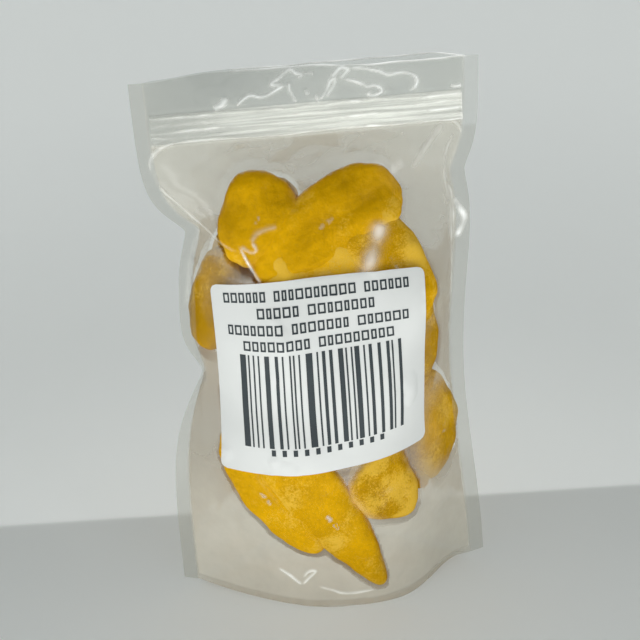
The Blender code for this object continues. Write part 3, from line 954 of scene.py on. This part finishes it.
@lru_cache
def drape(side, relief):
    """The film as a membrane over the slices: again and again each point goes to the mean of its four
    neighbours, is drawn a little to the pouch's own form, and is kept outside the slices. Gives how far
    the film stands out, and its gap to the slices."""
    x, z = np.meshgrid(RASTER_X, RASTER_Z)
    form = front_out(x, z) if side < 0 else back_out(x, z)
    form = np.maximum(form, SEALED)
    held = np.abs(x) > half_width(x, z) - seal_width(x, z)
    held |= (z > ZIP_BOTTOM - 0.001) | (z < STEP)
    solid = obstacle(side, slice_list(relief))
    out = np.maximum(form, np.where(held, 0.0, solid))
    for _ in range(DRAPE_ROUNDS):
        mean = (np.roll(out, 1, 0) + np.roll(out, -1, 0) + np.roll(out, 1, 1) + np.roll(out, -1, 1)) / 4
        out = np.where(held, form, np.maximum((1.0 - DRAPE_PULL) * mean + DRAPE_PULL * form, solid))
    gap = np.clip(out - solid, 0.0, 0.05)
    if side < 0:
        under = label_share(x, z)
        out = np.maximum((1.0 - under) * out + under * label_form(form, out - form), solid)
    return out, gap


def label_share(x, z):
    """1 under the label, easing to 0 around it."""
    over_x = np.abs(x - LABEL_CENTRE[0]) - 0.47 * LABEL_WIDTH
    over_z = np.abs(z - LABEL_CENTRE[1]) - 0.50 * LABEL_HEIGHT
    return 1.0 - smooth(np.maximum(over_x, over_z) / LABEL_EASE)


def blur(raster, rounds):
    """A raster smoothed again and again by a quarter of each neighbour along both its axes."""
    for _ in range(rounds):
        for axis in (0, 1):
            raster = 0.5 * raster + 0.25 * (np.roll(raster, 1, axis) + np.roll(raster, -1, axis))
    return raster


def label_form(form, push):
    """How far the stiff label holds the film out: the pouch's own form and the slices' push, which is
    spread sideways by a slice's half width, smoothed into one even sheet."""
    return blur(form + grow(np.maximum(push, 0.0), LABEL_SPREAD), LABEL_SMOOTHING)


def curved(path, steps=6):
    """More points along a smooth curve through a path's points, as a Catmull-Rom spline gives them."""
    points = np.array(path)
    padded = np.concatenate([2 * points[:1] - points[1:2], points, 2 * points[-1:] - points[-2:-1]])
    t = np.linspace(0.0, 1.0, steps, endpoint=False)[:, None]
    parts = []
    for p0, p1, p2, p3 in zip(padded[:-3], padded[1:-2], padded[2:-1], padded[3:]):
        bend = (2 * p0 - 5 * p1 + 4 * p2 - p3) * t**2 + (3 * p1 - p0 - 3 * p2 + p3) * t**3
        parts.append(p1 + 0.5 * ((p2 - p0) * t + bend))
    return np.concatenate([*parts, points[-1:]])


def ridge(x, z, path, width, seed, halo=0.0):
    """A crease of height 1 along a smooth path: exp(-(distance / width) ** 2), a share of it a wider
    halo, exp(-distance / (3.5 * width)), fading at both ends and a little uneven along its length."""
    best = np.full(x.shape, 1.0)
    share = np.zeros(x.shape)
    points = curved(path)
    lengths = np.linalg.norm(np.diff(points, axis=0), axis=1)
    starts = np.concatenate([[0.0], np.cumsum(lengths)])
    for start, end, before, length in zip(points[:-1], points[1:], starts, lengths):
        step = (end - start) / length
        along = np.clip((x - start[0]) * step[0] + (z - start[1]) * step[1], 0.0, length)
        away = np.hypot(x - start[0] - along * step[0], z - start[1] - along * step[1])
        nearer = away < best
        best = np.where(nearer, away, best)
        share = np.where(nearer, (before + along) / starts[-1], share)
    ends = smooth(share / 0.15 + 0.1) * smooth((1.0 - share) / 0.15 + 0.1)
    uneven = 0.75 + 0.25 * waves((share * starts[-1])[..., None], 0.012, seed, 5)
    line = (1.0 - halo) * np.exp(-((best / width) ** 2)) + halo * np.exp(-best / (3.5 * width))
    return ends * uneven * line


def zip_share(x, z):
    """1 over the zip strip, easing to 0 around it."""
    above = smooth((z - ZIP_BOTTOM + 0.0012) / 0.0016) * smooth((ZIP_TOP + 0.0012 - z) / 0.0016)
    inner = half_width(x, z) - ZIP_INSET
    return above * smooth((inner - np.abs(x)) / 0.002 + 0.5)


def zip_ribs(x, z):
    """Relief of the zip, and how its ribs glint: wavy ribs, each brighter and duller along its length
    and all of them brighter towards the right."""
    share = (z - ZIP_BOTTOM) / (ZIP_TOP - ZIP_BOTTOM)
    relief, glint = np.zeros(share.shape), np.zeros(share.shape)
    line = x[..., None]
    for number, (place, width, rise) in enumerate(RIBS):
        wander = 0.035 * waves(line, 0.06, RIB_SEED + number)
        wander = wander + 0.012 * waves(line, 0.016, RIB_SEED + 20 + number)
        shape = np.exp(-(((share - place - wander) / width) ** 2))
        patch = 0.35 + 0.5 * waves(line, 0.045, RIB_SEED + 40 + number)
        patch = np.clip(patch + 0.25 * waves(line, 0.012, RIB_SEED + 60 + number), 0.0, 1.0)
        relief = np.maximum(relief, rise * shape)
        glint = np.maximum(glint, rise * patch * shape)
    return relief, glint * (0.7 + 0.5 * smooth((x + 0.03) / 0.08))


def header_share(x, z):
    """1 in the loose header above the zip, easing to 0 at the fins."""
    inner = half_width(x, z) - seal_width(x, z)
    return smooth((z - ZIP_TOP - 0.0005) / 0.002) * smooth((inner - np.abs(x)) / 0.004)


def panel_columns(z, inner_columns, fin_columns):
    """Levels of x from seal to seal: even steps in each fin and across the filled part."""
    ones = np.ones_like(z)
    left, right = -half_width(-ones, z), half_width(ones, z)
    inner_left = left + seal_width(-ones, z)
    inner_right = right - seal_width(ones, z)
    fin = np.linspace(0.0, 1.0, fin_columns, endpoint=False)[None, :]
    inner = np.linspace(0.0, 1.0, inner_columns)[None, :]
    return np.concatenate(
        [left + fin * (inner_left - left), inner_left + inner * (inner_right - inner_left),
         right - fin[:, ::-1] * (right - inner_right)], axis=1,
    )


def film_folds(x, z, side, seed):
    """How far creases lift a film, how far wrinkles lift its header, and how white both make it: the
    creases' white is partly stress whitening and partly painted highlight, the wrinkles' white is painted
    highlight.
    """
    lift, puff, white = (np.zeros(x.shape) for _ in range(3))
    for number, (width, rise, pale, path) in enumerate(CREASES if side < 0 else ()):
        shape = ridge(x, z, path, width, seed + 10 + number)
        lift += rise * shape
        white = np.maximum(white, pale * shape)
    for number, (width, rise, pale, path) in enumerate(WRINKLES):
        shape = ridge(side * -x, z, path, width, seed + 40 + number, WRINKLE_HALO)
        shape = shape * smooth((z - ZIP_TOP + 0.001) / 0.001)
        puff += rise * shape
        white = np.maximum(white, pale * shape * (1.0 if side < 0 else 0.1))
    return lift, puff, white


def film_panel(name, side, relief, grid, seed):
    """One film from seal to seal: the draped sheet with its bubbles, creases, header wrinkles and zip
    relief, and the values its finish reads."""
    draped, gap = drape(side, relief)
    inner_columns, rows, fin_columns = grid
    z = np.linspace(0.0, HEIGHT, rows)[:, None]
    x = panel_columns(z, inner_columns, fin_columns)
    z = np.broadcast_to(z, x.shape)
    out = read(draped, x, z)
    reach = CONTACT_REACH[0] + CONTACT_REACH[1] * smooth((z - CONTACT_RISE[0]) / CONTACT_RISE[1])
    contact = np.exp(-((read(gap, x, z) / reach) ** CONTACT_POWER))
    inner = half_width(x, z) - seal_width(x, z)
    fin = smooth((np.abs(x) - inner) / EDGE + 0.5)
    loose = 1.0 - fin
    bare = loose * (1.0 - label_share(x, z) if side < 0 else 1.0)

    place = np.stack([x, z], -1)
    bubble = sum(rise * waves(place, length, seed + i) for i, (length, rise) in enumerate(BUBBLES))
    lift, puff, white = film_folds(x, z, side, seed)
    lift = (lift + bubble * (1.0 - 0.7 * contact) * smooth(out / 0.004)) * bare
    puff = puff + PUFF * header_share(x, z) * (1.0 + 0.5 * waves(place, 0.018, seed + 3))
    band = zip_share(x, z)
    ribs, glint = zip_ribs(x, z)
    out = np.maximum(out, SEALED) + lift + puff + band * (ZIP_SWELL[0] + ZIP_SWELL[1] * ribs)
    out = np.maximum(out, SEALED * 0.8)
    # A painted glint along the film's cut top edge.
    lip_glint = smooth((z - HEIGHT + LIP) / 0.0006) * smooth((x - LIP_START) / 0.006) * loose
    lip_glint = lip_glint * (0.75 + 0.25 * waves(place[..., :1], 0.03, seed + 6))
    # Painted glints of the zip's ribs, strongest on the front film and brighter to the right, go into the
    # film's white.
    glint = (0.95 if side < 0 else 0.2) * band * glint
    hem = smooth((HEM - z) / EDGE + 0.5)

    y = centre_plane(z) + header_bow(x, z, side) + side * out
    points = np.stack([x, y, lifted(x, z)], -1)
    item = add_mesh(name, points.reshape(-1, 3), grid_faces(*x.shape, flip=side > 0))
    paint(item, "contact", contact * loose)
    paint(item, "header", smooth((z - ZIP_BOTTOM + 0.001) / 0.002) * loose)
    paint(item, "crimp", fin * (x > 0) * smooth((z - CRIMP_FOOT) / 0.002))
    # This value holds the creases' whitening together with the painted highlights of the wrinkles, the lip
    # and the zip's ribs.
    paint(item, "crease_and_highlight", np.clip(np.maximum(np.maximum(white, glint), lip_glint), 0.0, 1.0))
    paint(item, "seal", np.maximum(fin, 0.4 * hem))
    return item, points


def gusset_panel(front, back):
    """The folded bottom web between the two films' lower edges: a low dome that stands on its rim."""
    depth = back[:, 1] - front[:, 1]
    rim = np.minimum(RIM / np.maximum(depth, 1e-6), 0.15)[:, None]
    steps = np.linspace(0.0, 1.0, 33)[None, :]
    dome = np.clip((steps - rim) / (0.5 - rim), 0.0, 1.0) * (steps <= 0.5)
    dome = dome + np.clip((1.0 - steps - rim) / (0.5 - rim), 0.0, 1.0) * (steps > 0.5)
    rise = ARCH * (depth / depth.max())[:, None] ** 0.7 * np.sin(pi / 2 * dome)
    points = front[:, None, :] + steps[..., None] * (back - front)[:, None, :]
    points[..., 2] += rise
    item = add_mesh("film_gusset", points.reshape(-1, 3), grid_faces(*points.shape[:2]))
    count = points.shape[0] * points.shape[1]
    for value in ("contact", "header", "crimp", "crease_and_highlight"):
        paint(item, value, np.zeros(count))
    paint(item, "seal", np.full(count, 0.5))
    return item


def slice_mesh(name, place, sizes):
    """One slice as a closed mesh, whose poles are single points, and its points in its own frame."""
    points, local = slice_points(place, *sizes)
    across, around = points.shape[:2]
    body = points[1:-1].reshape(-1, 3)
    count = len(body)
    body = np.concatenate([body, points[:1, 0], points[-1:, 0]])
    poles = np.concatenate([fan(count, 0, around, flip=True), fan(count + 1, count - around, around)])
    item = add_mesh(name, body, grid_faces(across - 2, around, closed=True), poles)
    return item, local[1:-1].reshape(-1, 3)


class POUCH_OT_slices(bpy.types.Operator):
    """Build the frozen slices, each one a piece of its own"""

    bl_idname = "pouch.slices"
    bl_label = "Slices"

    def execute(self, context):
        settings = context.scene.pouch_slices
        material = flesh_finish(settings)
        for name, place, sizes, tone, frost in slice_list(settings.relief):
            item, inner = slice_mesh(name, place, sizes)
            rim = smooth((np.hypot(inner[:, 0] / sizes[0] * 2, inner[:, 1] / sizes[1] * 2) - 0.75) / 0.25)
            # The rims are painted a little brighter, as light from the bright surroundings.
            tones = tone + 0.12 * waves(inner, 0.03, sizes[-1] + 7) + 0.1 * rim
            frosts = frost + 0.42 * waves(inner, 0.022, sizes[-1] + 8) + 0.2 * rim
            paint(item, "tone", np.append(tones, [tone, tone]))
            paint(item, "frost", np.append(frosts, [frost, frost]))
            dress(item, material, "plantain", "pouch")
        return {"FINISHED"}


class POUCH_OT_film(bpy.types.Operator):
    """Build the front film, the back film and the bottom gusset, draped over the slices"""

    bl_idname = "pouch.film"
    bl_label = "Film"

    def execute(self, context):
        material = film_finish(context.scene.pouch_film)
        relief = context.scene.pouch_slices.relief
        front, front_points = film_panel("film_front", -1.0, relief, FRONT_GRID, 101)
        back, back_points = film_panel("film_back", 1.0, relief, BACK_GRID, 202)
        gusset = gusset_panel(front_points[0], back_points[0])
        for item in (front, back, gusset):
            dress(item, material, "film", "pouch")
        return {"FINISHED"}


def zip_strip(name, side):
    """A closed strip inside the film: a flat back and a ribbed face, extruded across the pouch."""
    inner = [half_width(s, ZIP_TOP) - ZIP_INSET for s in (-1.0, 1.0)]
    x = np.linspace(-inner[0], inner[1], ZIP_COLUMNS)[:, None]
    face = np.linspace(ZIP_BOTTOM, ZIP_TOP, ZIP_ROWS)
    z = np.concatenate([face, [ZIP_TOP, ZIP_BOTTOM]])[None, :]
    flat = np.full((ZIP_COLUMNS, 2), 0.0002)
    out = np.concatenate([0.0007 + RIB_RISE * zip_ribs(x, face[None, :])[0], flat], axis=1)
    y = centre_plane(z) + side * out
    points = np.stack([x + 0 * z, y + 0 * x, z + 0 * x], -1)
    around = points.shape[1]
    count = ZIP_COLUMNS * around
    caps = np.stack([points[0].mean(axis=0), points[-1].mean(axis=0)])
    ends = np.concatenate([fan(count, 0, around), fan(count + 1, count - around, around, flip=True)])
    quads = grid_faces(ZIP_COLUMNS, around, closed=True, flip=side > 0)
    ends = ends[:, ::-1] if side > 0 else ends
    return add_mesh(name, np.concatenate([points.reshape(-1, 3), caps]), quads, ends, sharp=50)


class POUCH_OT_zip(bpy.types.Operator):
    """Build the press-to-close zip strips"""

    bl_idname = "pouch.zip"
    bl_label = "Zip"

    def execute(self, context):
        material = zip_finish(context.scene.pouch_film)
        for name, side, node in (
            ("zip_strip_front", -1.0, "zip_track_front"), ("zip_strip_back", 1.0, "zip_track_back"),
        ):
            dress(zip_strip(name, side), material, "zip", node)
        return {"FINISHED"}


class LabelSheet:
    """The label's middle surface: an even sheet over the front film, measured along its own arc."""

    def __init__(self, relief):
        self.out = drape(-1.0, relief)[0]
        mid_x, mid_z = LABEL_CENTRE
        self.z = np.linspace(mid_z - LABEL_HEIGHT / 2, mid_z + LABEL_HEIGHT / 2, SHEET_GRID[0])
        self.s = np.linspace(-LABEL_WIDTH / 2, LABEL_WIDTH / 2, SHEET_GRID[1])
        fine = np.linspace(-SHEET_REACH, SHEET_REACH, 900)
        self.x = np.empty((len(self.z), len(self.s)))
        for row, level in enumerate(self.z):
            y = -read(self.out, fine, np.full_like(fine, level))
            arc = np.concatenate([[0.0], np.cumsum(np.hypot(np.diff(fine), np.diff(y)))])
            arc -= np.interp(mid_x, fine, arc)
            self.x[row] = np.interp(self.s, arc, fine)
        level = self.z - mid_z
        self.x = np.vander(level, 4) @ np.polyfit(level, self.x, 3)
        self.x *= 1.0 - LABEL_TAPER * (0.5 + level / LABEL_HEIGHT)[:, None]

    def at(self, s, z, off):
        """Points at so far along the arc and so high on the flat label, a distance off the film."""
        column = (s - self.s[0]) / (self.s[1] - self.s[0])
        row = (z - self.z[0]) / (self.z[1] - self.z[0])
        x = between(self.x, column, row)
        top = np.clip(2 * (z - LABEL_CENTRE[1]) / LABEL_HEIGHT, 0.0, 1.0)
        end = 2 * s / LABEL_WIDTH
        z = z + LABEL_SKEW * end + top * (LABEL_CROWN - (LABEL_CORNER_DROP + LABEL_CROWN) * end**2)
        slope_x, slope_z = slopes(lambda a, b: read(self.out, a, b), x, z, 0.001)
        normal = np.stack([-slope_x, -np.ones_like(slope_x), -slope_z], -1)
        normal /= np.linalg.norm(normal, axis=-1, keepdims=True)
        points = np.stack([x, centre_plane(z) - read(self.out, x, z), z], -1)
        return points + off * normal


def slab(top, bottom):
    """A closed slab between two grids of points: both faces and the four walls round them."""
    rows, columns = top.shape[:2]
    count = rows * columns
    index = np.arange(count).reshape(rows, columns)
    edge = np.concatenate([index[0, :-1], index[:-1, -1], index[-1, :0:-1], index[:0:-1, 0]])
    ahead = np.roll(edge, -1)
    walls = np.stack([edge + count, ahead + count, ahead, edge], -1)
    face = grid_faces(rows, columns)
    quads = np.concatenate([face, face[:, ::-1] + count, walls])
    return np.concatenate([top.reshape(-1, 3), bottom.reshape(-1, 3)]), quads


def hollow(s, z, width, height):
    """The four strokes of an upright rectangle, as blocks of s, z, width and height."""
    inside = width - 2 * STROKE
    return [
        (s, z, STROKE, height), (s + width - STROKE, z, STROKE, height),
        (s + STROKE, z, inside, STROKE), (s + STROKE, z + height - STROKE, inside, STROKE),
    ]


def print_blocks():
    """The plain print as blocks of s, z, width and height: four rows of small open rectangles in
    groups, a row of upright bars of random widths, and a row of dashes under it."""
    draw = np.random.default_rng(PRINT_SEED)
    mid_z = LABEL_CENTRE[1]
    blocks = []
    for (foot, length), words in zip(TEXT_LINES, TEXT_WORDS):
        widths = [draw.uniform(*TEXT_WIDTHS, count) for count in words]
        unit = length / (sum(w.sum() for w in widths) + GROUP_GAP * (len(words) - 1))
        s = -length / 2
        for group in widths:
            for width in group:
                blocks += hollow(s, mid_z + foot, (width - TEXT_GAP) * unit, TEXT_HEIGHT)
                s += width * unit
            s += GROUP_GAP * unit
    module = BARS_LENGTH / BAR_MODULES
    place = 0
    while place < BAR_MODULES - 2:
        width = int(draw.choice([1, 1, 1, 2, 3, 4]))
        left = place * module - BARS_LENGTH / 2 + BARS_SHIFT
        blocks.append((left, mid_z + BARS_FOOT, width * module * BAR_INK, BARS_HEIGHT))
        place += width + int(draw.choice([1, 1, 2, 2, 3]))
    for place in BARS_SHIFT + np.linspace(-DASHES_REACH, DASHES_REACH, DASHES) * BARS_LENGTH:
        blocks.append((place - DASH[0] / 2, mid_z + DASHES_FOOT, *DASH))
    return blocks


def paper_mesh(sheet, thickness):
    """The label's paper: a thin slab over the film, with round corners."""
    rows, columns = PAPER_GRID
    t = -LABEL_HEIGHT / 2 * np.cos(np.linspace(0.0, pi, rows))[:, None]
    t = 0.35 * t + 0.65 * np.linspace(-LABEL_HEIGHT / 2, LABEL_HEIGHT / 2, rows)[:, None]
    miss = np.clip(LABEL_CORNER - (LABEL_HEIGHT / 2 - np.abs(t)), 0.0, LABEL_CORNER)
    inset = LABEL_CORNER - np.sqrt(LABEL_CORNER**2 - miss**2)
    s = np.linspace(-1.0, 1.0, columns)[None, :] * (LABEL_WIDTH / 2 - inset)
    z = LABEL_CENTRE[1] + t + 0 * s
    points, quads = slab(sheet.at(s, z, CLEARANCE + thickness), sheet.at(s, z, CLEARANCE))
    return add_mesh("label_sheet", points, quads, sharp=50)


def print_mesh(sheet, thickness):
    """The print: one thin closed slab on the paper for each of its blocks."""
    all_points, all_quads, count = [], [], 0
    off = CLEARANCE + thickness + PRINT_OFF
    for left, foot, width, height in print_blocks():
        s = np.linspace(left, left + width, 3)[None, :]
        z = np.linspace(foot, foot + height, max(3, int(height / PRINT_STEP)))[:, None]
        s, z = s + 0 * z, z + 0 * s
        points, quads = slab(sheet.at(s, z, off), sheet.at(s, z, off - PRINT_THICKNESS))
        all_points.append(points)
        all_quads.append(quads + count)
        count += len(points)
    return add_mesh("label_print", np.concatenate(all_points), np.concatenate(all_quads), sharp=50)


class POUCH_OT_label(bpy.types.Operator):
    """Build the label and its plain print of blocks and bars"""

    bl_idname = "pouch.label"
    bl_label = "Label"

    def execute(self, context):
        settings = context.scene.pouch_label
        sheet = LabelSheet(context.scene.pouch_slices.relief)
        dress(paper_mesh(sheet, settings.thickness), paper_finish(settings), "label", "label")
        dress(print_mesh(sheet, settings.thickness), ink_finish(settings), "print")
        return {"FINISHED"}


def lamp(name, azimuth, elevation, distance, size, power, colour, target):
    """An area lamp that looks at a point from an angle and a distance."""
    data = bpy.data.lights.new(name, "AREA")
    data.shape = "RECTANGLE"
    data.size, data.size_y = size
    data.energy = power
    data.color = colour
    item = bpy.data.objects.new(name, data)
    bpy.context.scene.collection.objects.link(item)
    a, e = radians(azimuth), radians(elevation)
    away = Vector((sin(a) * cos(e), -cos(a) * cos(e), sin(e)))
    item.location = target + away * distance
    item.rotation_euler = away.to_track_quat("Z", "Y").to_euler()
    item.visible_camera = False
    return item


def place_camera(scene, settings):
    """The camera: it looks down on the pouch from a little to the left, turned about its own axis."""
    e, a, roll = settings.elevation, settings.azimuth, settings.roll
    ahead = Vector((sin(a) * cos(e), cos(a) * cos(e), -sin(e)))
    right = Vector((cos(a), -sin(a), 0.0))
    up = right.cross(ahead)
    rolled_right = right * cos(roll) - up * sin(roll)
    rolled_up = right * sin(roll) + up * cos(roll)
    camera = bpy.data.objects.new("camera", bpy.data.cameras.new("camera"))
    scene.collection.objects.link(camera)
    scene.camera = camera
    aim = Vector((0.0, 0.0, HEIGHT / 2)) + rolled_up * CAMERA_SHIFT[1] + rolled_right * CAMERA_SHIFT[0]
    matrix = Matrix((rolled_right, rolled_up, -ahead)).transposed().to_4x4()
    matrix.translation = aim - ahead * settings.distance
    camera.matrix_world = matrix
    camera.data.lens = settings.lens


def build_studio(settings):
    """The floor and its round wall: one profile, a quarter round between them, turned about Z."""
    radius, bend, top = STUDIO
    arc = np.linspace(0.0, pi / 2, 16)
    reach = np.concatenate([FLOOR_RINGS, radius - bend + bend * np.sin(arc), [radius, radius]])
    height = np.concatenate([np.zeros(len(FLOOR_RINGS)), bend - bend * np.cos(arc), [WALL_RING, top]])
    reach, height = reach[:, None], height[:, None]
    turn = np.linspace(0.0, 2 * pi, STUDIO_SIDES, endpoint=False)[None, :]
    points = np.stack([reach * np.cos(turn), reach * np.sin(turn), height + 0 * turn], -1).reshape(-1, 3)
    stage = add_mesh(
        "studio", np.concatenate([points, [[0.0, 0.0, 0.0]]]),
        grid_faces(len(reach), STUDIO_SIDES, closed=True, flip=True), fan(len(points), 0, STUDIO_SIDES),
    )
    stage.data.materials.append(backdrop_finish(settings))


class POUCH_OT_stage(bpy.types.Operator):
    """Build the camera, the lamps, the floor and its round backdrop"""

    bl_idname = "pouch.stage"
    bl_label = "Stage"

    def execute(self, context):
        scene = context.scene
        settings = scene.pouch_stage
        place_camera(scene, settings)
        build_studio(settings)
        for name, azimuth, elevation, distance, size, power, colour in LAMPS:
            lamp(name, azimuth, elevation, distance, size, power * settings.light, colour, Vector(TARGET))
        place, size, power, colour = CARD
        card = lamp("front_card", 0, 0, 0.0, size, power * settings.light, colour, Vector(place))
        card.rotation_euler = (pi, 0.0, 0.0)
        world = bpy.data.worlds.new("studio_air")
        scene.world = world
        world.use_nodes = True
        background = world.node_tree.nodes["Background"]
        background.inputs["Color"].default_value = AIR
        background.inputs["Strength"].default_value = AIR_GLOW
        scene.view_settings.view_transform = "Standard"
        scene.cycles.transparent_max_bounces = 24
        return {"FINISHED"}


class POUCH_PT_panel(bpy.types.Panel):
    """The pouch's operators and settings"""

    bl_idname = "POUCH_PT_panel"
    bl_label = "Plantain pouch"
    bl_space_type = "VIEW_3D"
    bl_region_type = "UI"
    bl_category = "Pouch"

    def draw(self, context):
        for operator in OPERATORS:
            self.layout.operator(operator.bl_idname)
        for group in SETTINGS:
            box = self.layout.box()
            settings = getattr(context.scene, group)
            for key in settings.__annotations__:
                box.prop(settings, key)


OPERATORS = (POUCH_OT_stage, POUCH_OT_slices, POUCH_OT_film, POUCH_OT_zip, POUCH_OT_label)
SETTINGS = {
    "pouch_film": PouchFilmSettings,
    "pouch_slices": PouchSliceSettings,
    "pouch_label": PouchLabelSettings,
    "pouch_stage": PouchStageSettings,
}


def register():
    """Register the settings, operators and panel."""
    for kind in (*SETTINGS.values(), *OPERATORS, POUCH_PT_panel):
        bpy.utils.register_class(kind)
    for name, kind in SETTINGS.items():
        setattr(bpy.types.Scene, name, PointerProperty(type=kind))


def unregister():
    """Remove what register added."""
    for name in SETTINGS:
        delattr(bpy.types.Scene, name)
    for kind in reversed((*SETTINGS.values(), *OPERATORS, POUCH_PT_panel)):
        bpy.utils.unregister_class(kind)


def main():
    """Build everything in order."""
    register()
    bpy.ops.pouch.stage()
    bpy.ops.pouch.slices()
    bpy.ops.pouch.film()
    bpy.ops.pouch.zip()
    bpy.ops.pouch.label()


if __name__ == "__main__":
    main()
